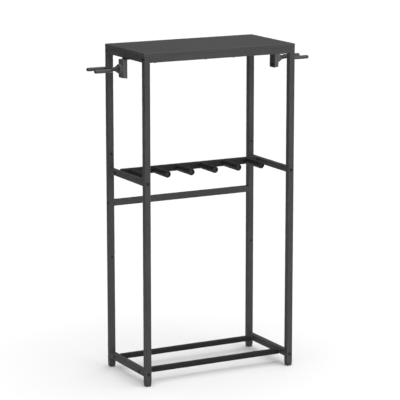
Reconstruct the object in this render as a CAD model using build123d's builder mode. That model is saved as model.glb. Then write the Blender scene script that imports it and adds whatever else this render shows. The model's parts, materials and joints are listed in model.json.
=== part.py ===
"""A free-standing guitar rack of black square tube, in millimetres.

The rack stands on four posts. X runs along its front, Y from front to back and Z up.
The origin is on the floor, at the centre of the footprint. Guitars stand on two padded
bottom bars and lean their necks between six padded pegs at mid height. A board closes
the top, and each side carries a hanger whose padded yoke swivels about the X axis.
"""

import os

from build123d import *

# --- Driving dimensions of the frame ---
RACK_WIDTH = 600
RACK_DEPTH = 315
RACK_HEIGHT = 1190
BOARD_THICKNESS = 12
BOARD_EDGE_RADIUS = 1

POST_SIZE = 22
MID_RAIL_SIZE = 20
BAR_SIZE = 15
TUBE_WALL = 1.2
TUBE_CORNER_RADIUS = 2

FOOT_HEIGHT = 12
FOOT_CORNER_RADIUS = 4.5
FOOT_BOTTOM_RADIUS = 4
FOOT_SPIGOT_LENGTH = 20
FOOT_SPIGOT_WALL = 2
FOOT_SPIGOT_RADIUS = 1
FOOT_RIB_COUNT = 3
FOOT_RIB_START = 4
FOOT_RIB_STEP = 6
FOOT_RIB_HEIGHT = 1
FOOT_RIB_STAND = 0.5

BOTTOM_RAIL_Z = 45
STRETCHER_Z = 612.5
MID_RAIL_Z = 732.5
BOTTOM_FRONT_BAR_Y = -100
BOTTOM_REAR_BAR_Y = 105
NECK_BAR_Y = 88

# --- Padding and pegs ---
BOTTOM_FOAM_SIZE = 20
BOTTOM_FOAM_RADIUS = 4
NECK_FOAM_SIZE = 25
NECK_FOAM_RADIUS = 5
FOAM_END_GAP = 6
PEG_COUNT = 6
PEG_PITCH = 96
PEG_TUBE_RADIUS = 7
PEG_FOAM_RADIUS = 12.5
PEG_TIP_Y = -28
PEG_MOUTH_DEPTH = 3
PEG_PLUG_DEPTH = 6
PEG_PLUG_LENGTH = 5
FOAM_EDGE_RADIUS = 1

# --- Fasteners ---
TIP_CHAMFER = 0.5
HEAD_ROUNDING_SHARE = 0.6
SOCKET_WIDTH_SHARE = 0.42
SOCKET_DEPTH_SHARE = 0.6
SCREW_HEAD_RATIO = 1.8
SCREW_HOLE_PLAY = 0.2
BOLT_RADIUS = 3
BOLT_HOLE_RADIUS = 3.25
BOLT_HEAD_RADIUS = 5
BOLT_HEAD_HEIGHT = 2.6
BOLT_GRIP_IN_NUT = 8
SPARE_HOLE_RADIUS = 3.5
SPARE_HOLE_HEIGHTS = (414, 793)
END_NUT_LENGTH = 8
BORE_FIT_PLAY = 0.1
BOARD_SCREW_RADIUS = 2
BOARD_SCREW_HEAD_RADIUS = 4
BOARD_SCREW_HEAD_HEIGHT = 2.4
BOARD_SCREW_BITE = 9
BOARD_PILOT_EXTRA = 1
BOARD_SCREW_XS = (-253, -55, 55, 253)

# --- Side hangers ---
HANGER_Z = 1120
BRACKET_WIDTH = 36
BRACKET_THICKNESS = 2.5
BRACKET_BOTTOM_Z = 1086
BRACKET_SCREW_RADIUS = 2.5
BRACKET_SCREW_SPACING = 20
BRACKET_SCREW_LENGTH = 12
BASE_HEIGHT = 65.5
BASE_DEPTH = 15.5
BASE_WALL = 3
BASE_FRONT_WALL = 4.5
BASE_CORNER_RADIUS = 4
BASE_EDGE_RADIUS = 3.5
BASE_CAVITY_RADIUS = 1
BASE_SCREW_RADIUS = 2
BASE_SCREW_SPACING = 48
BASE_SCREW_LENGTH = 10
BASE_POST_RADIUS = 4.5
BOSS_RADIUS = 17
BOSS_HEIGHT = 8
BOSS_TAPER = 8

JOURNAL_RADIUS = 5
JOURNAL_PLAY = 0.05
SWIVEL_GAP = 0.3
THREAD_RADIUS = 4
THREAD_PROUD = 1
NUT_ACROSS_FLATS = 13
NUT_HEIGHT = 6
WASHER_RADIUS = 9
WASHER_THICKNESS = 1.2
COLLAR_END = 52
COLLAR_ROOT_RADIUS = 16
COLLAR_RIM = 1.5
COLLAR_WAIST_OUT = 9
COLLAR_WAIST_RADIUS = 10.2
COLLAR_NECK_LENGTH = 8
COLLAR_NECK_RADIUS = 6.5
COLLAR_TIP_RADIUS = 6.3
YOKE_ROD_RADIUS = 4
YOKE_SLEEVE_RADIUS = 6.75
YOKE_SPREAD = 64
YOKE_CROSSBAR_OUT = 60
YOKE_TIP_OUT = 132
YOKE_BEND_RADIUS = 14
SLEEVE_START = 8
SLEEVE_TIP_THICKNESS = 2
SLEEVE_TIP_RADIUS = 1.8

# --- Worked-out places ---
POST_X = (RACK_WIDTH - POST_SIZE) / 2
POST_Y = (RACK_DEPTH - POST_SIZE) / 2
POST_TOP_Z = RACK_HEIGHT - BOARD_THICKNESS
TOP_RAIL_Z = POST_TOP_Z - POST_SIZE / 2
TOP_RAIL_UNDERSIDE_Z = POST_TOP_Z - POST_SIZE
LONG_RAIL_HALF = POST_X - POST_SIZE / 2
SIDE_RAIL_HALF = POST_Y - POST_SIZE / 2
NECK_BAR_HALF = POST_X - MID_RAIL_SIZE / 2
PEG_ROOT_Y = NECK_BAR_Y - BAR_SIZE / 2
PEG_FOAM_ROOT_Y = NECK_BAR_Y - NECK_FOAM_SIZE / 2
PEG_XS = [PEG_PITCH * (i - (PEG_COUNT - 1) / 2) for i in range(PEG_COUNT)]
RIB_SIZE = POST_SIZE - 2 * TUBE_WALL - 2 * BORE_FIT_PLAY
SPIGOT_SIZE = RIB_SIZE - 2 * FOOT_RIB_STAND
SPIGOT_BORE = RIB_SIZE - 2 * FOOT_SPIGOT_WALL
SIDES = {"left": -1, "right": 1}
ENDS = {"front": -1, "rear": 1}

X_AXIS = Vector(1, 0, 0)
Y_AXIS = Vector(0, 1, 0)
Z_AXIS = Vector(0, 0, 1)


def finished(part, label):
    """Labels a finished piece and writes its STEP file."""
    part.label = label
    export_step(part, f"parts/{label}.step")


def drill(start, direction, radius, depth):
    """Cuts a straight round hole in the part being built."""
    with BuildSketch(Plane(origin=start, z_dir=direction)) as mouth:
        Circle(radius)
    extrude(mouth.sketch, amount=depth, mode=Mode.SUBTRACT)


def tube_section(size):
    """Draws the section of a square tube with rounded corners."""
    bore = size - 2 * TUBE_WALL
    RectangleRounded(size, size, TUBE_CORNER_RADIUS)
    RectangleRounded(bore, bore, TUBE_CORNER_RADIUS - TUBE_WALL, mode=Mode.SUBTRACT)


def straight_tube(centre, direction, size, half_length):
    """Builds a square tube about its centre, in the part being built."""
    with BuildSketch(Plane(origin=centre, x_dir=Z_AXIS, z_dir=direction)) as section:
        tube_section(size)
    extrude(section.sketch, amount=half_length, both=True)


def round_head_fastener(radius, length, head_radius, head_height):
    """A fastener along +Z with its seat at Z = 0, and a hexagon socket in its rounded head."""
    rounding = HEAD_ROUNDING_SHARE * head_height
    rim = head_height - rounding
    with BuildPart() as fastener:
        with BuildSketch(Plane.XZ):
            with BuildLine():
                Polyline(
                    (head_radius - rounding, -head_height),
                    (0, -head_height),
                    (0, length),
                    (radius - TIP_CHAMFER, length),
                    (radius, length - TIP_CHAMFER),
                    (radius, 0),
                    (head_radius, 0),
                    (head_radius, -rim),
                )
                CenterArc((head_radius - rounding, -rim), rounding, 0, -90)
            make_face()
        revolve(axis=Axis.Z)
        with BuildSketch(Plane.XY.offset(-head_height)):
            RegularPolygon(radius=SOCKET_WIDTH_SHARE * head_radius, side_count=6)
        extrude(amount=SOCKET_DEPTH_SHARE * head_height, mode=Mode.SUBTRACT)
    return fastener.part


def place_at(start, direction):
    """The location that turns +Z to a direction and moves the origin to a start point."""
    return Plane(origin=start, z_dir=direction).location


def hanger_plane(side, out):
    """A plane across a hanger, a distance out from the rack's side face, facing outwards."""
    origin = (side * (RACK_WIDTH / 2 + out), 0, HANGER_Z)
    return Plane(origin=origin, x_dir=(0, side, 0), z_dir=(side, 0, 0))


os.makedirs("parts", exist_ok=True)

# --- Posts and feet ---
for side_name, side in SIDES.items():
    for end_name, end in ENDS.items():
        post_x = side * POST_X
        post_y = end * POST_Y

        with BuildPart() as post:
            with BuildSketch(Plane.XY.offset(FOOT_HEIGHT)):
                with Locations((post_x, post_y)):
                    tube_section(POST_SIZE)
            extrude(amount=POST_TOP_Z - FOOT_HEIGHT)
            # Side rails are bolted through the post from its front or rear face.
            for z in (BOTTOM_RAIL_Z, MID_RAIL_Z):
                drill((post_x, end * RACK_DEPTH / 2, z), -end * Y_AXIS, BOLT_HOLE_RADIUS, POST_SIZE)
            # Long rails are bolted through the post from the rack's side.
            long_rail_heights = (TOP_RAIL_Z, STRETCHER_Z) if end_name == "rear" else (TOP_RAIL_Z,)
            for z in long_rail_heights:
                drill((side * RACK_WIDTH / 2, post_y, z), -side * X_AXIS, BOLT_HOLE_RADIUS, POST_SIZE)
            # Spare fixing holes face the other post of the same side.
            for z in SPARE_HOLE_HEIGHTS:
                drill((post_x, post_y, z), -end * Y_AXIS, SPARE_HOLE_RADIUS, POST_SIZE)
        finished(post.part, f"post_{end_name}_{side_name}")

        with BuildPart() as foot_cap:
            with BuildSketch():
                with Locations((post_x, post_y)):
                    RectangleRounded(POST_SIZE, POST_SIZE, FOOT_CORNER_RADIUS)
            extrude(amount=FOOT_HEIGHT)
            fillet(foot_cap.faces().sort_by(Axis.Z)[0].edges(), FOOT_BOTTOM_RADIUS)
            with BuildSketch(Plane.XY.offset(FOOT_HEIGHT)):
                with Locations((post_x, post_y)):
                    RectangleRounded(SPIGOT_SIZE, SPIGOT_SIZE, FOOT_SPIGOT_RADIUS)
            extrude(amount=FOOT_SPIGOT_LENGTH)
            # Ribs round the spigot grip the bore of the post.
            for rib in range(FOOT_RIB_COUNT):
                rib_z = FOOT_HEIGHT + FOOT_RIB_START + rib * FOOT_RIB_STEP
                with BuildSketch(Plane.XY.offset(rib_z)):
                    with Locations((post_x, post_y)):
                        RectangleRounded(RIB_SIZE, RIB_SIZE, TUBE_CORNER_RADIUS - TUBE_WALL)
                extrude(amount=FOOT_RIB_HEIGHT)
            with BuildSketch(Plane.XY.offset(FOOT_HEIGHT)):
                with Locations((post_x, post_y)):
                    Rectangle(SPIGOT_BORE, SPIGOT_BORE)
            extrude(amount=FOOT_SPIGOT_LENGTH, mode=Mode.SUBTRACT)
        finished(foot_cap.part, f"foot_cap_{end_name}_{side_name}")

# --- Board ---
with BuildPart() as top_board:
    with BuildSketch(Plane.XY.offset(POST_TOP_Z)):
        Rectangle(RACK_WIDTH, RACK_DEPTH)
    extrude(amount=BOARD_THICKNESS)
    fillet(top_board.edges(), BOARD_EDGE_RADIUS)
    pilot_depth = BOARD_SCREW_BITE + BOARD_PILOT_EXTRA
    for end in ENDS.values():
        for x in BOARD_SCREW_XS:
            drill((x, end * POST_Y, POST_TOP_Z), Z_AXIS, BOARD_SCREW_RADIUS, pilot_depth)
finished(top_board.part, "top_board")

# --- Long rails ---
for end_name, end in ENDS.items():
    with BuildPart() as top_rail:
        straight_tube((0, end * POST_Y, TOP_RAIL_Z), X_AXIS, POST_SIZE, LONG_RAIL_HALF)
        for x in BOARD_SCREW_XS:
            screw_hole = BOARD_SCREW_RADIUS + SCREW_HOLE_PLAY
            drill((x, end * POST_Y, TOP_RAIL_UNDERSIDE_Z), Z_AXIS, screw_hole, POST_SIZE)
    finished(top_rail.part, f"top_{end_name}_rail")

with BuildPart() as rear_stretcher:
    straight_tube((0, POST_Y, STRETCHER_Z), X_AXIS, POST_SIZE, LONG_RAIL_HALF)
finished(rear_stretcher.part, "rear_stretcher")

# --- Side rails ---
for side_name, side in SIDES.items():
    with BuildPart() as top_side_rail:
        straight_tube((side * POST_X, 0, TOP_RAIL_Z), Y_AXIS, POST_SIZE, SIDE_RAIL_HALF)
        for y in (-BRACKET_SCREW_SPACING / 2, BRACKET_SCREW_SPACING / 2):
            drill((side * POST_X, y, TOP_RAIL_UNDERSIDE_Z), Z_AXIS, BRACKET_SCREW_RADIUS, POST_SIZE / 2)
    finished(top_side_rail.part, f"top_{side_name}_rail")

    with BuildPart() as mid_rail:
        straight_tube((side * POST_X, 0, MID_RAIL_Z), Y_AXIS, MID_RAIL_SIZE, SIDE_RAIL_HALF)
        drill(
            (side * (POST_X + MID_RAIL_SIZE / 2), NECK_BAR_Y, MID_RAIL_Z),
            -side * X_AXIS, BOLT_HOLE_RADIUS, MID_RAIL_SIZE,
        )
    finished(mid_rail.part, f"mid_{side_name}_rail")

    with BuildPart() as bottom_rail:
        straight_tube((side * POST_X, 0, BOTTOM_RAIL_Z), Y_AXIS, POST_SIZE, SIDE_RAIL_HALF)
        for y in (BOTTOM_FRONT_BAR_Y, BOTTOM_REAR_BAR_Y):
            drill((side * RACK_WIDTH / 2, y, BOTTOM_RAIL_Z), -side * X_AXIS, BOLT_HOLE_RADIUS, POST_SIZE)
    finished(bottom_rail.part, f"bottom_{side_name}_rail")

# --- Bottom bars and their padding ---
for end_name, bar_y in (("front", BOTTOM_FRONT_BAR_Y), ("rear", BOTTOM_REAR_BAR_Y)):
    bar_centre = Vector(0, bar_y, BOTTOM_RAIL_Z)
    with BuildPart() as bottom_bar:
        straight_tube(bar_centre, X_AXIS, BAR_SIZE, LONG_RAIL_HALF)
    finished(bottom_bar.part, f"bottom_{end_name}_bar")

    with BuildPart() as bottom_foam:
        with BuildSketch(Plane(origin=bar_centre, x_dir=Z_AXIS, z_dir=X_AXIS)):
            RectangleRounded(BOTTOM_FOAM_SIZE, BOTTOM_FOAM_SIZE, BOTTOM_FOAM_RADIUS)
            RectangleRounded(BAR_SIZE, BAR_SIZE, TUBE_CORNER_RADIUS, mode=Mode.SUBTRACT)
        extrude(amount=LONG_RAIL_HALF - FOAM_END_GAP, both=True)
    finished(bottom_foam.part, f"bottom_{end_name}_foam")

# --- Neck bar, its padding and its pegs ---
neck_bar_centre = Vector(0, NECK_BAR_Y, MID_RAIL_Z)
with BuildPart() as neck_bar:
    straight_tube(neck_bar_centre, X_AXIS, BAR_SIZE, NECK_BAR_HALF)
finished(neck_bar.part, "neck_bar")

with BuildPart() as neck_bar_foam:
    with BuildSketch(Plane(origin=neck_bar_centre, x_dir=Z_AXIS, z_dir=X_AXIS)):
        RectangleRounded(NECK_FOAM_SIZE, NECK_FOAM_SIZE, NECK_FOAM_RADIUS)
        RectangleRounded(BAR_SIZE, BAR_SIZE, TUBE_CORNER_RADIUS, mode=Mode.SUBTRACT)
    extrude(amount=NECK_BAR_HALF - FOAM_END_GAP, both=True)
    # Each peg passes through a hole in the front wall of the padding.
    for peg_x in PEG_XS:
        drill((peg_x, PEG_ROOT_Y, MID_RAIL_Z), -Y_AXIS, PEG_TUBE_RADIUS, PEG_ROOT_Y - PEG_FOAM_ROOT_Y)
finished(neck_bar_foam.part, "neck_bar_foam")

PEG_TUBE_LENGTH = PEG_ROOT_Y - PEG_TIP_Y - PEG_MOUTH_DEPTH
for number, peg_x in enumerate(PEG_XS, start=1):
    with BuildPart() as neck_peg:
        with BuildSketch(Plane(origin=(peg_x, PEG_ROOT_Y, MID_RAIL_Z), z_dir=-Y_AXIS)):
            Circle(PEG_TUBE_RADIUS)
            Circle(PEG_TUBE_RADIUS - TUBE_WALL, mode=Mode.SUBTRACT)
        extrude(amount=PEG_TUBE_LENGTH)
    finished(neck_peg.part, f"neck_peg_{number}")

    with BuildPart() as peg_foam:
        with BuildSketch(Plane(origin=(peg_x, PEG_FOAM_ROOT_Y, MID_RAIL_Z), z_dir=-Y_AXIS)):
            Circle(PEG_FOAM_RADIUS)
            Circle(PEG_TUBE_RADIUS, mode=Mode.SUBTRACT)
        extrude(amount=PEG_FOAM_ROOT_Y - PEG_TIP_Y)
        fillet(peg_foam.faces().sort_by(Axis.Y)[0].edges(), FOAM_EDGE_RADIUS)
    finished(peg_foam.part, f"peg_foam_{number}")

with BuildPart() as peg_plugs:
    for peg_x in PEG_XS:
        plug_start = (peg_x, PEG_TIP_Y + PEG_PLUG_DEPTH, MID_RAIL_Z)
        with BuildSketch(Plane(origin=plug_start, z_dir=Y_AXIS)):
            Circle(PEG_TUBE_RADIUS - TUBE_WALL)
        extrude(amount=PEG_PLUG_LENGTH)
finished(peg_plugs.part, "peg_plugs")

# --- Threaded nuts fixed inside the rail ends ---
with BuildPart() as rail_end_nuts:
    nut_rows = []
    for side in SIDES.values():
        for end in ENDS.values():
            for z, size in ((BOTTOM_RAIL_Z, POST_SIZE), (MID_RAIL_Z, MID_RAIL_SIZE)):
                nut_rows.append(((side * POST_X, end * SIDE_RAIL_HALF, z), -end * Y_AXIS, size))
            nut_rows.append(((side * LONG_RAIL_HALF, end * POST_Y, TOP_RAIL_Z), -side * X_AXIS, POST_SIZE))
        nut_rows.append(((side * LONG_RAIL_HALF, POST_Y, STRETCHER_Z), -side * X_AXIS, POST_SIZE))
        nut_rows.append(((side * NECK_BAR_HALF, NECK_BAR_Y, MID_RAIL_Z), -side * X_AXIS, BAR_SIZE))
        for bar_y in (BOTTOM_FRONT_BAR_Y, BOTTOM_REAR_BAR_Y):
            nut_rows.append(((side * LONG_RAIL_HALF, bar_y, BOTTOM_RAIL_Z), -side * X_AXIS, BAR_SIZE))
    for start, direction, size in nut_rows:
        nut_size = size - 2 * TUBE_WALL - 2 * BORE_FIT_PLAY
        with BuildSketch(Plane(origin=start, x_dir=Z_AXIS, z_dir=direction)):
            RectangleRounded(nut_size, nut_size, TUBE_CORNER_RADIUS - TUBE_WALL)
            Circle(BOLT_RADIUS, mode=Mode.SUBTRACT)
        extrude(amount=END_NUT_LENGTH)
finished(rail_end_nuts.part, "rail_end_nuts")

# --- Frame bolts ---
post_bolt = round_head_fastener(
    BOLT_RADIUS, POST_SIZE + BOLT_GRIP_IN_NUT, BOLT_HEAD_RADIUS, BOLT_HEAD_HEIGHT
)
mid_bolt = round_head_fastener(
    BOLT_RADIUS, MID_RAIL_SIZE + BOLT_GRIP_IN_NUT, BOLT_HEAD_RADIUS, BOLT_HEAD_HEIGHT
)

with BuildPart() as side_rail_bolts:
    for side in SIDES.values():
        for end in ENDS.values():
            for z in (BOTTOM_RAIL_Z, MID_RAIL_Z):
                with Locations(place_at((side * POST_X, end * RACK_DEPTH / 2, z), -end * Y_AXIS)):
                    add(post_bolt)
finished(side_rail_bolts.part, "side_rail_bolts")

with BuildPart() as long_rail_bolts:
    for side in SIDES.values():
        for y, z in (
            (-POST_Y, TOP_RAIL_Z),
            (POST_Y, TOP_RAIL_Z),
            (POST_Y, STRETCHER_Z),
            (BOTTOM_FRONT_BAR_Y, BOTTOM_RAIL_Z),
            (BOTTOM_REAR_BAR_Y, BOTTOM_RAIL_Z),
        ):
            with Locations(place_at((side * RACK_WIDTH / 2, y, z), -side * X_AXIS)):
                add(post_bolt)
        neck_bolt_x = side * (POST_X + MID_RAIL_SIZE / 2)
        with Locations(place_at((neck_bolt_x, NECK_BAR_Y, MID_RAIL_Z), -side * X_AXIS)):
            add(mid_bolt)
finished(long_rail_bolts.part, "long_rail_bolts")

board_screw = round_head_fastener(
    BOARD_SCREW_RADIUS, POST_SIZE + BOARD_SCREW_BITE, BOARD_SCREW_HEAD_RADIUS, BOARD_SCREW_HEAD_HEIGHT
)
with BuildPart() as board_screws:
    for end in ENDS.values():
        for x in BOARD_SCREW_XS:
            with Locations(place_at((x, end * POST_Y, TOP_RAIL_UNDERSIDE_Z), Z_AXIS)):
                add(board_screw)
finished(board_screws.part, "board_screws")

# --- Hangers ---
BASE_CAVITY_WIDTH = BRACKET_WIDTH - 2 * BASE_WALL
BASE_CAVITY_HEIGHT = BASE_HEIGHT - 2 * BASE_WALL
BASE_CAVITY_DEPTH = BASE_DEPTH - BASE_FRONT_WALL
BOSS_OUT = BASE_DEPTH + BOSS_HEIGHT
COLLAR_START = BOSS_OUT + SWIVEL_GAP
WASHER_OUT = BASE_CAVITY_DEPTH - SWIVEL_GAP
NUT_OUT = WASHER_OUT - WASHER_THICKNESS
FLANGE_Z = TOP_RAIL_UNDERSIDE_Z - BRACKET_THICKNESS

for side_name, side in SIDES.items():
    side_x = side * RACK_WIDTH / 2
    outwards = Axis((0, 0, 0), (side, 0, 0))

    with BuildPart() as bracket:
        with BuildSketch(Plane.XZ.offset(-BRACKET_WIDTH / 2)):
            with BuildLine():
                Polyline(
                    (side_x, BRACKET_BOTTOM_Z),
                    (side_x, TOP_RAIL_UNDERSIDE_Z),
                    (side_x - side * POST_SIZE, TOP_RAIL_UNDERSIDE_Z),
                    (side_x - side * POST_SIZE, FLANGE_Z),
                    (side_x - side * BRACKET_THICKNESS, FLANGE_Z),
                    (side_x - side * BRACKET_THICKNESS, BRACKET_BOTTOM_Z),
                    close=True,
                )
            make_face()
        extrude(amount=BRACKET_WIDTH)
        for y in (-BRACKET_SCREW_SPACING / 2, BRACKET_SCREW_SPACING / 2):
            screw_hole = BRACKET_SCREW_RADIUS + SCREW_HOLE_PLAY
            drill((side * POST_X, y, FLANGE_Z), Z_AXIS, screw_hole, BRACKET_THICKNESS)
        for dz in (-BASE_SCREW_SPACING / 2, BASE_SCREW_SPACING / 2):
            inner_x = side_x - side * BRACKET_THICKNESS
            screw_hole = BASE_SCREW_RADIUS + SCREW_HOLE_PLAY
            drill((inner_x, 0, HANGER_Z + dz), side * X_AXIS, screw_hole, BRACKET_THICKNESS)
    finished(bracket.part, f"{side_name}_hanger_bracket")

    with BuildPart() as base:
        with BuildSketch(hanger_plane(side, 0)):
            RectangleRounded(BRACKET_WIDTH, BASE_HEIGHT, BASE_CORNER_RADIUS)
        extrude(amount=BASE_DEPTH)
        fillet(base.faces().sort_by(outwards)[-1].edges(), BASE_EDGE_RADIUS)
        with BuildSketch(hanger_plane(side, 0)):
            RectangleRounded(BASE_CAVITY_WIDTH, BASE_CAVITY_HEIGHT, BASE_CAVITY_RADIUS)
        extrude(amount=BASE_CAVITY_DEPTH, mode=Mode.SUBTRACT)
        with BuildSketch(hanger_plane(side, 0)):
            with GridLocations(0, BASE_SCREW_SPACING, 1, 2):
                Circle(BASE_POST_RADIUS)
        extrude(amount=BASE_CAVITY_DEPTH)
        with BuildSketch(hanger_plane(side, BASE_DEPTH)):
            Circle(BOSS_RADIUS)
        extrude(amount=BOSS_HEIGHT, taper=BOSS_TAPER)
        with BuildSketch(hanger_plane(side, 0)):
            with GridLocations(0, BASE_SCREW_SPACING, 1, 2):
                Circle(BASE_SCREW_RADIUS)
        extrude(amount=BASE_SCREW_LENGTH, mode=Mode.SUBTRACT)
        with BuildSketch(hanger_plane(side, 0)):
            Circle(JOURNAL_RADIUS + JOURNAL_PLAY)
        extrude(amount=BOSS_OUT, mode=Mode.SUBTRACT)
    finished(base.part, f"{side_name}_hanger_base")

    # The yoke is a U of round rod welded to a stem, with a journal and a threaded end.
    half_spread = YOKE_SPREAD / 2
    rod_tip_out = YOKE_TIP_OUT - SLEEVE_TIP_THICKNESS
    with BuildPart() as yoke:
        with BuildLine(hanger_plane(side, 0)) as rod_path:
            FilletPolyline(
                (-half_spread, 0, rod_tip_out),
                (-half_spread, 0, YOKE_CROSSBAR_OUT),
                (half_spread, 0, YOKE_CROSSBAR_OUT),
                (half_spread, 0, rod_tip_out),
                radius=YOKE_BEND_RADIUS,
            )
        with BuildSketch(Plane(origin=rod_path.line @ 0, z_dir=rod_path.line % 0)):
            Circle(YOKE_ROD_RADIUS)
        sweep(path=rod_path.line)
        with BuildSketch(hanger_plane(side, WASHER_OUT)):
            Circle(JOURNAL_RADIUS)
        extrude(amount=YOKE_CROSSBAR_OUT - WASHER_OUT)
        with BuildSketch(hanger_plane(side, WASHER_OUT)):
            Circle(THREAD_RADIUS)
        extrude(amount=-(WASHER_THICKNESS + NUT_HEIGHT + THREAD_PROUD))
    finished(yoke.part, f"{side_name}_yoke")

    # One padded sleeve covers each half of the U, from the stem round the bend to the tip.
    for end_name, end in ENDS.items():
        across = end * side
        with BuildPart() as sleeve:
            with BuildLine(hanger_plane(side, 0)) as sleeve_path:
                FilletPolyline(
                    (across * SLEEVE_START, 0, YOKE_CROSSBAR_OUT),
                    (across * half_spread, 0, YOKE_CROSSBAR_OUT),
                    (across * half_spread, 0, rod_tip_out),
                    radius=YOKE_BEND_RADIUS,
                )
            with BuildSketch(Plane(origin=sleeve_path.line @ 0, z_dir=sleeve_path.line % 0)):
                Circle(YOKE_SLEEVE_RADIUS)
                Circle(YOKE_ROD_RADIUS, mode=Mode.SUBTRACT)
            sweep(path=sleeve_path.line)
            tip_plane = hanger_plane(side, rod_tip_out)
            with BuildSketch(tip_plane):
                with Locations((across * half_spread, 0)):
                    Circle(YOKE_SLEEVE_RADIUS)
            extrude(amount=SLEEVE_TIP_THICKNESS)
            fillet(sleeve.faces().sort_by(outwards)[-1].edges(), SLEEVE_TIP_RADIUS)
        finished(sleeve.part, f"{side_name}_yoke_{end_name}_sleeve")

    # The collar is a cone that hides the stem between the base and the U.
    with BuildPart() as collar:
        with BuildSketch(Plane.XZ):
            with BuildLine():
                collar_root = side_x + side * COLLAR_START
                collar_rim = collar_root + side * COLLAR_RIM
                collar_waist = collar_root + side * COLLAR_WAIST_OUT
                collar_tip = side_x + side * COLLAR_END
                collar_neck = collar_tip - side * COLLAR_NECK_LENGTH
                Polyline(
                    (collar_neck, HANGER_Z + COLLAR_NECK_RADIUS),
                    (collar_tip, HANGER_Z + COLLAR_TIP_RADIUS),
                    (collar_tip, HANGER_Z + JOURNAL_RADIUS),
                    (collar_root, HANGER_Z + JOURNAL_RADIUS),
                    (collar_root, HANGER_Z + COLLAR_ROOT_RADIUS),
                    (collar_rim, HANGER_Z + COLLAR_ROOT_RADIUS),
                )
                ThreePointArc(
                    (collar_rim, HANGER_Z + COLLAR_ROOT_RADIUS),
                    (collar_waist, HANGER_Z + COLLAR_WAIST_RADIUS),
                    (collar_neck, HANGER_Z + COLLAR_NECK_RADIUS),
                )
            make_face()
        revolve(axis=Axis((0, 0, HANGER_Z), (1, 0, 0)))
    finished(collar.part, f"{side_name}_swivel_collar")

    with BuildPart() as washer:
        with BuildSketch(hanger_plane(side, NUT_OUT)):
            Circle(WASHER_RADIUS)
            Circle(THREAD_RADIUS, mode=Mode.SUBTRACT)
        extrude(amount=WASHER_THICKNESS)
    finished(washer.part, f"{side_name}_swivel_washer")

    with BuildPart() as lock_nut:
        with BuildSketch(hanger_plane(side, NUT_OUT)):
            RegularPolygon(radius=NUT_ACROSS_FLATS / 2, side_count=6, major_radius=False)
            Circle(THREAD_RADIUS, mode=Mode.SUBTRACT)
        extrude(amount=-NUT_HEIGHT)
    finished(lock_nut.part, f"{side_name}_swivel_nut")

bracket_screw = round_head_fastener(
    BRACKET_SCREW_RADIUS,
    BRACKET_SCREW_LENGTH,
    SCREW_HEAD_RATIO * BRACKET_SCREW_RADIUS,
    BRACKET_SCREW_RADIUS,
)
with BuildPart() as hanger_bracket_screws:
    for side in SIDES.values():
        for y in (-BRACKET_SCREW_SPACING / 2, BRACKET_SCREW_SPACING / 2):
            with Locations(place_at((side * POST_X, y, FLANGE_Z), Z_AXIS)):
                add(bracket_screw)
finished(hanger_bracket_screws.part, "hanger_bracket_screws")

base_screw = round_head_fastener(
    BASE_SCREW_RADIUS,
    BASE_SCREW_LENGTH,
    SCREW_HEAD_RATIO * BASE_SCREW_RADIUS,
    BASE_SCREW_RADIUS,
)
with BuildPart() as hanger_base_screws:
    for side in SIDES.values():
        inner_x = side * (RACK_WIDTH / 2 - BRACKET_THICKNESS)
        for dz in (-BASE_SCREW_SPACING / 2, BASE_SCREW_SPACING / 2):
            with Locations(place_at((inner_x, 0, HANGER_Z + dz), side * X_AXIS)):
                add(base_screw)
finished(hanger_base_screws.part, "hanger_base_screws")
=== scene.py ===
"""The looks of a black guitar rack: powder-coated tube, laminate board, foam and rubber padding.

Lengths are in metres, in the frame's own axes: X along the front, Y to the back, Z up.
"""

import json
import math

import bmesh
import bpy
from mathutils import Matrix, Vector, noise


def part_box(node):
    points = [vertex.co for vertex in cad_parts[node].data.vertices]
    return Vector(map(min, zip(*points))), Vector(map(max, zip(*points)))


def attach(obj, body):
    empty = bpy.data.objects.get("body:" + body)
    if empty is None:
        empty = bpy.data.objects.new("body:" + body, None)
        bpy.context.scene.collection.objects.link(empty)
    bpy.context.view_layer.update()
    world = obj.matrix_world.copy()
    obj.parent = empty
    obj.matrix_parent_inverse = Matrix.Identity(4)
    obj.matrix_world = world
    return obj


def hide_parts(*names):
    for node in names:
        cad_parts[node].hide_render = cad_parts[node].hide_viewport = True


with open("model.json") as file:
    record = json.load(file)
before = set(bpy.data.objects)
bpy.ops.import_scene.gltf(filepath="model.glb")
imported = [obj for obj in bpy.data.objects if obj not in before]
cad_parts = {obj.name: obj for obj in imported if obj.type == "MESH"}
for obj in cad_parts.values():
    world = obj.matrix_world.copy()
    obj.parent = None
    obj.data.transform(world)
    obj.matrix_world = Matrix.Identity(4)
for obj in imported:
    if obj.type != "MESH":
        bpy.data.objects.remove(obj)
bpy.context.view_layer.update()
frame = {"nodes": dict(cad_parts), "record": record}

NODES = frame["nodes"]
SIDES = {"left": -1, "right": 1}

# --- Camera and light ---
CAMERA_AZIMUTH = math.radians(-28.07)
CAMERA_ELEVATION = math.radians(11.47)
CAMERA_DISTANCE = 7.446
CAMERA_LENS = 185.2
CAMERA_SENSOR_WIDTH = 36
CAMERA_REACH = 100
CAMERA_TARGET = Vector((0, 0, 0.621))
FLOOR_HALF = 40
FRONT_BOX_PLACE = Vector((2.2, -4.2, 2.4))
FRONT_BOX_AIM = Vector((0, 0, 0.6))
FRONT_BOX_SIZE = 2.6
FRONT_BOX_POWER = 30
SKY_BRIGHT_SIDE = Vector((0.45, -0.89, 0))
SKY_BRIGHT = 1.45
SKY_DIM = 0.04
SKY_TURN = -0.75
OVERHEAD_STRENGTH = 2.1
OVERHEAD_SPREAD = math.radians(70)
FLAG_X = -1.5
FLAG_Y = (-0.9, 5.0)
FLAG_HEIGHT = 2.8

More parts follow.
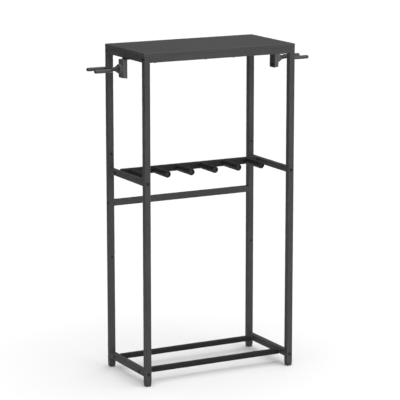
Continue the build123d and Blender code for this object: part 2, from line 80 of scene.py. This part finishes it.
# --- Padding ---
FOAM_STEP = 0.004
FOAM_RIPPLE = 0.00028
RIPPLE_WIDE_SCALE = 22
RIPPLE_FINE_SCALE = 75
RIPPLE_FINE_SHARE = 0.4
FOAM_CROWN = 0.0005
FOAM_SEAM_DEPTH = 0.0008
FOAM_SEAM_HALF = 0.0012
FOAM_END_RADIUS = 0.0022
FOAM_END_SHARES = (0.15, 0.4, 0.7)
BOTTOM_FOAM_CORNER = 0.0042
NECK_FOAM_CORNER = 0.0052
BAR_BORE = 0.0076
BAR_BORE_CORNER = 0.0016
SEAM_SIDE_COSINE = 0.9
PEG_SEGMENTS = 56
PEG_BORE = 0.0070
PEG_LIP = 0.0022
PEG_LIP_STEPS = 8
PEG_ROOT_PINCH = 0.0007
PEG_PINCH_LENGTH = 0.006
SLEEVE_SEGMENTS = 40
SLEEVE_BORE_END = 0.001
SLEEVE_CUFF_SHARE = 0.93
SLEEVE_CUFF_LENGTH = 0.0008
SLEEVE_ROOT_STEPS = 6
SLEEVE_BEND_STEPS = 12
SLEEVE_STRAIGHT_STEPS = 16
SLEEVE_DOME_STEPS = 8
SLEEVE_DOME_END = 0.0004
ROD_RADIUS = 0.004
BEND_RADIUS = 0.014

# --- Weld beads ---
WELD_RADIUS = 0.0016
WELD_PITCH = 0.0032
WELD_RINGS_PER_PITCH = 4
WELD_SEGMENTS = 10
WELD_SWELL = 0.16
WELD_SINK = WELD_RADIUS * 0.6

# --- Rounded corners, told apart by how far a face turns from the axes ---
FLAT_COSINE = 0.995
ROUND_COSINE = 0.93


# ---------------------------------------------------------------- meshes

def smooth_object(name, verts, faces):
    """A smooth-shaded mesh object with outward normals."""
    mesh = bpy.data.meshes.new(name)
    mesh.from_pydata([tuple(v) for v in verts], [], faces)
    shell = bmesh.new()
    shell.from_mesh(mesh)
    bmesh.ops.recalc_face_normals(shell, faces=shell.faces)
    if shell.calc_volume(signed=True) < 0:
        bmesh.ops.reverse_faces(shell, faces=shell.faces)
    shell.to_mesh(mesh)
    shell.free()
    for polygon in mesh.polygons:
        polygon.use_smooth = True
    piece = bpy.data.objects.new(name, mesh)
    bpy.context.scene.collection.objects.link(piece)
    return piece


def loft(name, rings):
    """A closed surface through rings of equal length, the last of them joined to the first."""
    count = len(rings[0])
    verts = [v for ring in rings for v in ring]
    faces = []
    for r in range(len(rings)):
        here = r * count
        there = (r + 1) % len(rings) * count
        for i in range(count):
            j = (i + 1) % count
            faces.append((here + i, here + j, there + j, there + i))
    return smooth_object(name, verts, faces)


def capped_loft(name, rings):
    """A closed surface through rings of equal length, with a fan over each end ring."""
    count = len(rings[0])
    verts = [v for ring in rings for v in ring]
    faces = []
    for r in range(len(rings) - 1):
        for i in range(count):
            j = (i + 1) % count
            faces.append((r * count + i, r * count + j, (r + 1) * count + j, (r + 1) * count + i))
    for ring_start, flip in ((0, True), ((len(rings) - 1) * count, False)):
        centre = sum((Vector(verts[ring_start + i]) for i in range(count)), Vector()) / count
        verts.append(centre)
        for i in range(count):
            j = (i + 1) % count
            fan = (ring_start + i, ring_start + j, len(verts) - 1)
            faces.append(fan[::-1] if flip else fan)
    return smooth_object(name, verts, faces)


def rounded_square(half, corner, per_corner=8, per_side=6):
    """Points round a square with rounded corners, as (u, v, outward u, outward v)."""
    points = []
    flat = half - corner
    for quarter in range(4):
        turn = quarter * math.pi / 2
        cos, sin = math.cos(turn), math.sin(turn)
        local = []
        for k in range(per_side):
            local.append((half, -flat + 2 * flat * k / per_side, 1, 0))
        for k in range(per_corner):
            a = math.pi / 2 * k / per_corner
            nu, nv = math.cos(a), math.sin(a)
            local.append((flat + corner * nu, flat + corner * nv, nu, nv))
        for u, v, nu, nv in local:
            place = (u * cos - v * sin, u * sin + v * cos)
            outward = (nu * cos - nv * sin, nu * sin + nv * cos)
            points.append((*place, *outward))
    return points


def ripple(point, seed):
    """A gentle unevenness of soft foam, from a fixed noise field."""
    wide = noise.noise(point * RIPPLE_WIDE_SCALE + Vector((seed, 0, 0)))
    fine = noise.noise(point * RIPPLE_FINE_SCALE + Vector((0, seed, 0)))
    return FOAM_RIPPLE * (wide + RIPPLE_FINE_SHARE * fine)


def end_inset(depth):
    """How far a soft end draws in, at a depth from its end face."""
    return FOAM_END_RADIUS - math.sqrt(FOAM_END_RADIUS**2 - (FOAM_END_RADIUS - depth) ** 2)


def foam_bar(name, node, corner, seed, seam_side):
    """Foam on a square bar: crowned sides, soft ends and the slit along which it was closed."""
    low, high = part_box(node)
    centre = (low + high) / 2
    half = (high.z - low.z) / 2
    outline = rounded_square(half, corner)
    bore = rounded_square(BAR_BORE, BAR_BORE_CORNER)
    steps = round((high.x - low.x) / FOAM_STEP)
    seam_u, seam_v = seam_side

    def outer_ring(x, inset):
        ring = []
        for u, v, nu, nv in outline:
            side = min(abs(u), abs(v)) / half
            crown = FOAM_CROWN * side * side
            along_seam = u * seam_v - v * seam_u
            slit = 0
            if nu * seam_u + nv * seam_v > SEAM_SIDE_COSINE:
                slit = FOAM_SEAM_DEPTH * math.exp(-(along_seam / FOAM_SEAM_HALF) ** 2)
            place = Vector((x, centre.y + u, centre.z + v))
            push = ripple(place, seed) - crown - slit - inset - FOAM_RIPPLE
            ring.append(place + Vector((0, nu, nv)) * push)
        return ring

    rings = []
    for k in range(steps + 1):
        x = low.x + (high.x - low.x) * k / steps
        rings.append(outer_ring(x, FOAM_END_RADIUS if k in (0, steps) else 0))
        if k in (0, steps - 1):
            for share in FOAM_END_SHARES:
                depth = FOAM_END_RADIUS * (share if k == 0 else 1 - share)
                x_end = low.x + depth if k == 0 else high.x - depth
                rings.append(outer_ring(x_end, end_inset(depth)))
    for x in (high.x, low.x):
        rings.append([Vector((x, centre.y + u, centre.z + v)) for u, v, _, _ in bore])
    return loft(name, rings)


def foam_peg(name, node, seed):
    """A round foam sleeve with a soft lip round its open mouth and a pinch at its root."""
    low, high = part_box(node)
    centre = (low + high) / 2
    radius = (high.x - low.x) / 2
    tip, root = low.y, high.y
    middle = (PEG_BORE + radius) / 2
    half_wall = (radius - PEG_BORE) / 2
    profile = []
    for k in range(PEG_LIP_STEPS + 1):
        a = math.pi * k / PEG_LIP_STEPS
        profile.append((tip + PEG_LIP * (1 - math.sin(a)), middle - half_wall * math.cos(a)))
    steps = round((root - tip - PEG_LIP) / FOAM_STEP)
    for k in range(1, steps + 1):
        y = tip + PEG_LIP + (root - tip - PEG_LIP) * k / steps
        pinch = PEG_ROOT_PINCH * math.exp(-((root - y) / PEG_PINCH_LENGTH) ** 2)
        profile.append((y, radius - pinch))
    profile.append((root, PEG_BORE))
    rings = []
    for y, r in profile:
        ring = []
        for i in range(PEG_SEGMENTS):
            a = 2 * math.pi * i / PEG_SEGMENTS
            outward = Vector((math.cos(a), 0, math.sin(a)))
            place = Vector((centre.x, y, centre.z)) + outward * r
            push = 0
            if r > PEG_BORE:
                push = min(ripple(place, seed) - FOAM_RIPPLE, 0)
            ring.append(place + outward * push)
        rings.append(ring)
    return loft(name, rings)


def yoke_sleeve(name, node, side, end):
    """A moulded rubber sleeve round one half of a yoke, with a domed tip and a flared cuff."""
    low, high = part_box(node)
    axis_z = (low.z + high.z) / 2
    radius = (high.z - low.z) / 2
    outer_x = max(abs(low.x), abs(high.x))
    cross_x = min(abs(low.x), abs(high.x)) + radius
    prong_y = max(abs(low.y), abs(high.y)) - radius
    start_y = min(abs(low.y), abs(high.y))
    path = []
    for k in range(SLEEVE_ROOT_STEPS + 1):
        y = start_y + (prong_y - BEND_RADIUS - start_y) * k / SLEEVE_ROOT_STEPS
        path.append((cross_x, y, 0, 1))
    for k in range(1, SLEEVE_BEND_STEPS + 1):
        a = math.pi / 2 * k / SLEEVE_BEND_STEPS
        x = cross_x + BEND_RADIUS * (1 - math.cos(a))
        y = prong_y - BEND_RADIUS + BEND_RADIUS * math.sin(a)
        path.append((x, y, math.sin(a), math.cos(a)))
    straight = outer_x - radius - cross_x - BEND_RADIUS
    for k in range(1, SLEEVE_STRAIGHT_STEPS + 1):
        path.append((cross_x + BEND_RADIUS + straight * k / SLEEVE_STRAIGHT_STEPS, prong_y, 1, 0))
    stations = [(x, y, dx, dy, radius) for x, y, dx, dy in path]
    for k in range(1, SLEEVE_DOME_STEPS + 1):
        a = math.pi / 2 * k / SLEEVE_DOME_STEPS
        reach = radius * math.sin(a)
        r = max(radius * math.cos(a), SLEEVE_DOME_END)
        stations.append((outer_x - radius + reach, prong_y, 1, 0, r))
    x0, y0, dx0, dy0, _ = stations[0]
    cuff = [
        (x0, y0, dx0, dy0, ROD_RADIUS + SLEEVE_BORE_END),
        (x0, y0, dx0, dy0, radius * SLEEVE_CUFF_SHARE),
        (x0, y0 + SLEEVE_CUFF_LENGTH, dx0, dy0, radius),
    ]
    rings = []
    for x, y, dx, dy, r in cuff + stations[1:]:
        ring = []
        for i in range(SLEEVE_SEGMENTS):
            a = 2 * math.pi * i / SLEEVE_SEGMENTS
            across = Vector((side * -dy, end * dx, 0)) * math.cos(a)
            place = Vector((side * x, end * y, axis_z)) + (across + Vector((0, 0, math.sin(a)))) * r
            ring.append(place)
        rings.append(ring)
    return capped_loft(name, rings)


def weld_bead(name, corners):
    """A rippled fillet of weld along a closed loop of corners."""
    rings = []
    for start, finish in zip(corners, corners[1:] + corners[:1]):
        run = finish - start
        side = Vector((0, 1, 0))
        up = run.normalized().cross(side)
        steps = round(run.length / (WELD_PITCH / WELD_RINGS_PER_PITCH))
        for k in range(steps):
            place = start + run * k / steps
            swell = 1 + WELD_SWELL * math.sin(2 * math.pi * k * run.length / steps / WELD_PITCH)
            ring = []
            for i in range(WELD_SEGMENTS):
                a = 2 * math.pi * i / WELD_SEGMENTS
                ring.append(place + (side * math.cos(a) + up * math.sin(a)) * WELD_RADIUS * swell)
            rings.append(ring)
    return loft(name, rings)


# ---------------------------------------------------------------- materials

class Finish:
    """A material under construction, with short calls for the nodes that every finish uses."""

    def __init__(self, name, roughness, metallic=0.0, specular=0.5, sheen=0.0):
        self.material = bpy.data.materials.new(name)
        self.material.use_nodes = True
        self.tree = self.material.node_tree
        self.shader = self.tree.nodes["Principled BSDF"]
        self.shader.inputs["Roughness"].default_value = roughness
        self.shader.inputs["Metallic"].default_value = metallic
        self.shader.inputs["Specular IOR Level"].default_value = specular
        self.shader.inputs["Sheen Weight"].default_value = sheen
        self.place = self.tree.nodes.new("ShaderNodeTexCoord").outputs["Object"]

    def join(self, source, target):
        if isinstance(source, (int, float)):
            target.default_value = source
        else:
            self.tree.links.new(source, target)

    def stretched(self, x, y, z):
        """The place scaled along each axis, for a grain that runs one way."""
        node = self.tree.nodes.new("ShaderNodeMapping")
        self.join(self.place, node.inputs["Vector"])
        node.inputs["Scale"].default_value = (x, y, z)
        return node.outputs["Vector"]

    def noise(self, scale, detail=2.0, place=None, distortion=0.0):
        node = self.tree.nodes.new("ShaderNodeTexNoise")
        self.join(place or self.place, node.inputs["Vector"])
        node.inputs["Scale"].default_value = scale
        node.inputs["Detail"].default_value = detail
        node.inputs["Distortion"].default_value = distortion
        return node.outputs["Fac"]

    def cells(self, scale):
        node = self.tree.nodes.new("ShaderNodeTexVoronoi")
        self.join(self.place, node.inputs["Vector"])
        node.inputs["Scale"].default_value = scale
        return node.outputs["Distance"]

    def math(self, operation, a, b=0.0):
        node = self.tree.nodes.new("ShaderNodeMath")
        node.operation = operation
        self.join(a, node.inputs[0])
        self.join(b, node.inputs[1])
        return node.outputs[0]

    def span(self, value, low, high, to_low=0.0, to_high=1.0):
        """Maps a range of a value onto another, clamped."""
        node = self.tree.nodes.new("ShaderNodeMapRange")
        self.join(value, node.inputs["Value"])
        labels = ("From Min", "From Max", "To Min", "To Max")
        for label, number in zip(labels, (low, high, to_low, to_high)):
            node.inputs[label].default_value = number
        return node.outputs["Result"]

    def blend(self, factor, first, second):
        node = self.tree.nodes.new("ShaderNodeMix")
        node.data_type = "RGBA"
        self.join(factor, node.inputs["Factor"])
        for colour, label in ((first, "A"), (second, "B")):
            socket = next(s for s in node.inputs if s.name == label and s.type == "RGBA")
            if isinstance(colour, tuple):
                socket.default_value = (*colour, 1)
            else:
                self.join(colour, socket)
        return next(s for s in node.outputs if s.type == "RGBA")

    def rounded_edges(self):
        """One on the rounded corners of parts whose faces lie along the axes, nought on the faces."""
        normal = self.tree.nodes.new("ShaderNodeNewGeometry").outputs["True Normal"]
        split = self.tree.nodes.new("ShaderNodeSeparateXYZ")
        self.join(normal, split.inputs[0])
        sizes = [self.math("ABSOLUTE", split.outputs[i]) for i in range(3)]
        largest = self.math("MAXIMUM", self.math("MAXIMUM", sizes[0], sizes[1]), sizes[2])
        return self.span(largest, FLAT_COSINE, ROUND_COSINE)

    def bump(self, height, strength, distance, under=None):
        node = self.tree.nodes.new("ShaderNodeBump")
        self.join(height, node.inputs["Height"])
        node.inputs["Strength"].default_value = strength
        node.inputs["Distance"].default_value = distance
        if under:
            self.join(under, node.inputs["Normal"])
        return node.outputs["Normal"]

    def done(self, colour, normal, roughness=None):
        self.join(colour, self.shader.inputs["Base Color"])
        self.join(normal, self.shader.inputs["Normal"])
        if roughness is not None:
            self.join(roughness, self.shader.inputs["Roughness"])
        return self.material


def grey(value, warm=0.0):
    """A neutral linear grey, a little warmer or cooler."""
    return (value * (1 + warm), value, value * (1 - warm))


def powder_coat():
    """Matte black powder coat: orange peel, faint cloudiness, rubbed corners and a few scuffs."""
    f = Finish("powder_coat", roughness=0.55, specular=0.22)
    peel = f.noise(620, detail=3)
    grit = f.noise(2600, detail=1)
    cloud = f.noise(9, detail=4)
    wear = f.math("MULTIPLY", f.rounded_edges(), f.span(f.noise(55, detail=6), 0.46, 0.72))
    scuff_place = f.stretched(14, 14, 95)
    scuffs = f.math("MULTIPLY", f.span(f.noise(3, detail=8, place=scuff_place), 0.66, 0.74), 0.35)
    body = f.blend(f.span(cloud, 0.3, 0.7), grey(0.036, 0.01), grey(0.047, 0.01))
    marked = f.blend(scuffs, body, grey(0.060, 0.01))
    colour = f.blend(f.math("MULTIPLY", wear, 0.6), marked, grey(0.105, 0.02))
    fine = f.bump(grit, 0.3, 0.00008)
    normal = f.bump(peel, 0.6, 0.00025, under=fine)
    rough = f.math("SUBTRACT", f.span(cloud, 0.3, 0.7, 0.50, 0.60), f.math("MULTIPLY", wear, 0.12))
    return f.done(colour, normal, rough)


def moving_coat():
    """The same coat on the yokes and brackets, without the marks that need a fixed frame."""
    f = Finish("hanger_coat", roughness=0.5, specular=0.45)
    body = f.blend(f.span(f.noise(30, detail=4), 0.3, 0.7), grey(0.012), grey(0.019))
    normal = f.bump(f.noise(700, detail=3), 0.5, 0.0002)
    return f.done(body, normal)


def laminate():
    """Charcoal laminate with a faint grain along the board, and a painted highlight: a plain lighter
    band on its rounded edges.
    """
    f = Finish("board_laminate", roughness=0.48, specular=0.12)
    long_grain = f.stretched(3.2, 95, 95)
    grain = f.noise(1.5, detail=9, place=long_grain, distortion=0.8)
    pores = f.noise(3.6, detail=6, place=f.stretched(16, 420, 420))
    cloud = f.noise(3, detail=3)
    figure = f.blend(f.span(grain, 0.35, 0.68), grey(0.038, 0.01), grey(0.056, 0.02))
    pored = f.blend(f.math("MULTIPLY", f.span(pores, 0.6, 0.72), 0.4), figure, grey(0.030))
    clouded = f.blend(f.math("MULTIPLY", f.span(cloud, 0.35, 0.7), 0.3), pored, grey(0.066, 0.01))
    # Painted highlight: the board's rounded edges are blended halfway to a plain lighter grey, as if
    # they caught the light.
    colour = f.blend(f.math("MULTIPLY", f.rounded_edges(), 0.5), clouded, grey(0.10, 0.02))
    normal = f.bump(pores, 0.2, 0.0001, under=f.bump(grain, 0.12, 0.0002))
    return f.done(colour, normal, f.span(grain, 0.3, 0.7, 0.42, 0.55))


def foam(name, dark, light, roughness):
    """Closed-cell foam: small round cells under a thin skin, with dusty patches and painted shade
    darkening the cell pits.
    """
    f = Finish(name, roughness=roughness, specular=0.3, sheen=0.04)
    cells = f.cells(1100)
    skin = f.noise(380, detail=4)
    patches = f.noise(34, detail=5)
    body = f.blend(f.span(patches, 0.35, 0.65), grey(dark), grey(light, 0.03))
    # Painted shade: the colour goes darker at the cell centres, the same places the bump below sinks
    # into pits.
    colour = f.blend(f.math("MULTIPLY", f.span(cells, 0.05, 0.5), 0.35), grey(dark * 0.6), body)
    normal = f.bump(cells, 0.7, 0.0004, under=f.bump(skin, 0.4, 0.0005))
    return f.done(colour, normal)


def moulded(name, dark, light, roughness, fineness=900, depth=0.0001):
    """Moulded plastic or rubber with a fine etched texture and slight flow marks."""
    f = Finish(name, roughness=roughness, specular=0.5)
    etch = f.noise(fineness, detail=2)
    flow = f.noise(18, detail=4, distortion=1.2)
    colour = f.blend(f.span(flow, 0.3, 0.7), grey(dark), grey(light))
    normal = f.bump(etch, 0.35, depth)
    return f.done(colour, normal, f.span(flow, 0.3, 0.7, roughness - 0.06, roughness + 0.06))


def fastener_black():
    """Black oxide on turned steel, thinner and brighter in patches."""
    f = Finish("fastener_black", roughness=0.42, specular=0.25)
    patches = f.noise(420, detail=4)
    colour = f.blend(f.span(patches, 0.5, 0.8), grey(0.003), grey(0.014, 0.02))
    return f.done(colour, f.bump(f.noise(3000, detail=2), 0.2, 0.00004))


def zinc():
    """Zinc-plated steel with fine turning marks."""
    f = Finish("zinc_plate", roughness=0.32, metallic=1.0)
    colour = f.blend(f.span(f.noise(260, detail=4), 0.3, 0.7), grey(0.50), grey(0.66))
    return f.done(colour, f.bump(f.noise(9, place=f.stretched(900, 40, 40)), 0.15, 0.00004))


def pale_floor():
    """A plain matte studio floor."""
    f = Finish("studio_floor", roughness=0.9, specular=0.1)
    tone = f.noise(1.2, detail=2)
    colour = f.blend(tone, grey(0.78), grey(0.80))
    return f.done(colour, f.bump(f.noise(60), 0.05, 0.001))


def black_cloth():
    """The matte black of a studio flag."""
    f = Finish("flag_cloth", roughness=1.0, specular=0.0)
    return f.done(f.blend(f.noise(40), grey(0.004), grey(0.006)), f.bump(f.noise(300), 0.1, 0.0005))


FINISHES = {
    "frame_steel": powder_coat(),
    "hanger_steel": moving_coat(),
    "board_laminate": laminate(),
    "bar_foam": foam("bar_foam", dark=0.008, light=0.014, roughness=0.82),
    "peg_foam": foam("peg_foam", dark=0.006, light=0.010, roughness=0.62),
    "yoke_sleeve": moulded(
        "yoke_rubber", dark=0.016, light=0.026, roughness=0.31, fineness=1400, depth=0.00006
    ),
    "foot_plastic": moulded("foot_plastic", dark=0.016, light=0.024, roughness=0.52),
    "plug_plastic": moulded("plug_plastic", dark=0.006, light=0.010, roughness=0.5),
    "hanger_plastic": moulded("hanger_plastic", dark=0.050, light=0.066, roughness=0.44, fineness=1100),
    "collar_rubber": moulded("collar_rubber", dark=0.010, light=0.016, roughness=0.5),
    "black_fasteners": fastener_black(),
    "zinc_steel": zinc(),
}


def dress(piece, finish):
    """Gives every face of a piece one finish."""
    piece.data.materials.clear()
    piece.data.materials.append(FINISHES[finish])


# ---------------------------------------------------------------- the object

for subpart in frame["record"]["subparts"]:
    node = NODES[subpart["node"]]
    for slot in node.material_slots:
        slot.material = FINISHES[subpart["material_slot"]]

DOWN = (0, -1)
BACK = (1, 0)
FOAM_BARS = {
    "bottom_front": (BOTTOM_FOAM_CORNER, DOWN, 3),
    "bottom_rear": (BOTTOM_FOAM_CORNER, DOWN, 11),
    "neck_bar": (NECK_FOAM_CORNER, BACK, 19),
}
for bar, (corner, seam_side, seed) in FOAM_BARS.items():
    pad = foam_bar(f"{bar}_padding", f"{bar}_foam", corner, seed, seam_side)
    dress(pad, "peg_foam" if bar == "neck_bar" else "bar_foam")
    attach(pad, "rack")
    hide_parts(f"{bar}_foam")

peg_nodes = sorted(name for name in NODES if name.startswith("peg_foam_"))
for seed, node in enumerate(peg_nodes, start=31):
    pad = foam_peg(node.replace("peg_foam", "peg_padding"), node, seed)
    dress(pad, "peg_foam")
    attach(pad, "rack")
    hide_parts(node)

for side_name, side in SIDES.items():
    for end_name, end in (("front", -1), ("rear", 1)):
        node = f"{side_name}_yoke_{end_name}_sleeve"
        pad = yoke_sleeve(f"{side_name}_{end_name}_prong_padding", node, side, end)
        dress(pad, "yoke_sleeve")
        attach(pad, f"{side_name}_yoke")
        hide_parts(node)

# The side top rails are welded to the posts, under the board.
for side_name in SIDES:
    low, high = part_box(f"top_{side_name}_rail")
    left, right = low.x + WELD_SINK, high.x - WELD_SINK
    bottom, top = low.z + WELD_SINK, high.z - 2 * WELD_SINK
    for end_name, y in (("front", low.y), ("rear", high.y)):
        corners = [
            Vector((left, y, bottom)),
            Vector((right, y, bottom)),
            Vector((right, y, top)),
            Vector((left, y, top)),
        ]
        bead = weld_bead(f"{side_name}_{end_name}_weld", corners)
        dress(bead, "frame_steel")
        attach(bead, "rack")

# ---------------------------------------------------------------- the studio

bpy.ops.mesh.primitive_plane_add(size=2 * FLOOR_HALF, location=(0, 0, 0))
floor = bpy.context.object
floor.name = "studio_floor"
floor.data.materials.append(pale_floor())

# A black flag to the left darkens what that side reflects. It leaves the floor and its light alone.
flag_corners = [(FLAG_X, y, z) for y, z in (
    (FLAG_Y[0], 0), (FLAG_Y[1], 0), (FLAG_Y[1], FLAG_HEIGHT), (FLAG_Y[0], FLAG_HEIGHT)
)]
flag = smooth_object("studio_flag", flag_corners, [(0, 1, 2, 3)])
flag.data.materials.append(black_cloth())
flag.visible_camera = False
flag.visible_diffuse = False
flag.visible_shadow = False

scene = bpy.context.scene
scene.view_settings.view_transform = "Standard"

front_lamp = bpy.data.lights.new("front_box", "AREA")
front_lamp.shape = "SQUARE"
front_lamp.size = FRONT_BOX_SIZE
front_lamp.energy = FRONT_BOX_POWER
front_box = bpy.data.objects.new("front_box", front_lamp)
scene.collection.objects.link(front_box)
front_box.location = FRONT_BOX_PLACE
front_box.rotation_euler = (FRONT_BOX_AIM - FRONT_BOX_PLACE).to_track_quat("-Z", "Y").to_euler()

overhead_lamp = bpy.data.lights.new("overhead", "SUN")
overhead_lamp.energy = OVERHEAD_STRENGTH
overhead_lamp.angle = OVERHEAD_SPREAD
overhead = bpy.data.objects.new("overhead", overhead_lamp)
scene.collection.objects.link(overhead)

world = bpy.data.worlds.new("studio")
scene.world = world
world.use_nodes = True
sky = world.node_tree
background = sky.nodes["Background"]
direction = sky.nodes.new("ShaderNodeTexCoord").outputs["Generated"]
facing = sky.nodes.new("ShaderNodeVectorMath")
facing.operation = "DOT_PRODUCT"
sky.links.new(direction, facing.inputs[0])
facing.inputs[1].default_value = SKY_BRIGHT_SIDE
falloff = sky.nodes.new("ShaderNodeMapRange")
falloff.inputs["From Min"].default_value = SKY_TURN
falloff.inputs["From Max"].default_value = 1
falloff.inputs["To Min"].default_value = SKY_DIM
falloff.inputs["To Max"].default_value = SKY_BRIGHT
sky.links.new(facing.outputs["Value"], falloff.inputs["Value"])
sky.links.new(falloff.outputs["Result"], background.inputs["Strength"])
background.inputs["Color"].default_value = (1, 1, 1, 1)

camera_data = bpy.data.cameras.new("camera")
camera_data.lens = CAMERA_LENS
camera_data.sensor_width = CAMERA_SENSOR_WIDTH
camera_data.clip_end = CAMERA_REACH
camera = bpy.data.objects.new("camera", camera_data)
scene.collection.objects.link(camera)
sight = Vector((
    math.sin(CAMERA_AZIMUTH) * math.cos(CAMERA_ELEVATION),
    -math.cos(CAMERA_AZIMUTH) * math.cos(CAMERA_ELEVATION),
    math.sin(CAMERA_ELEVATION),
))
camera.location = CAMERA_TARGET + CAMERA_DISTANCE * sight
camera.rotation_euler = (-sight).to_track_quat("-Z", "Y").to_euler()
scene.camera = camera
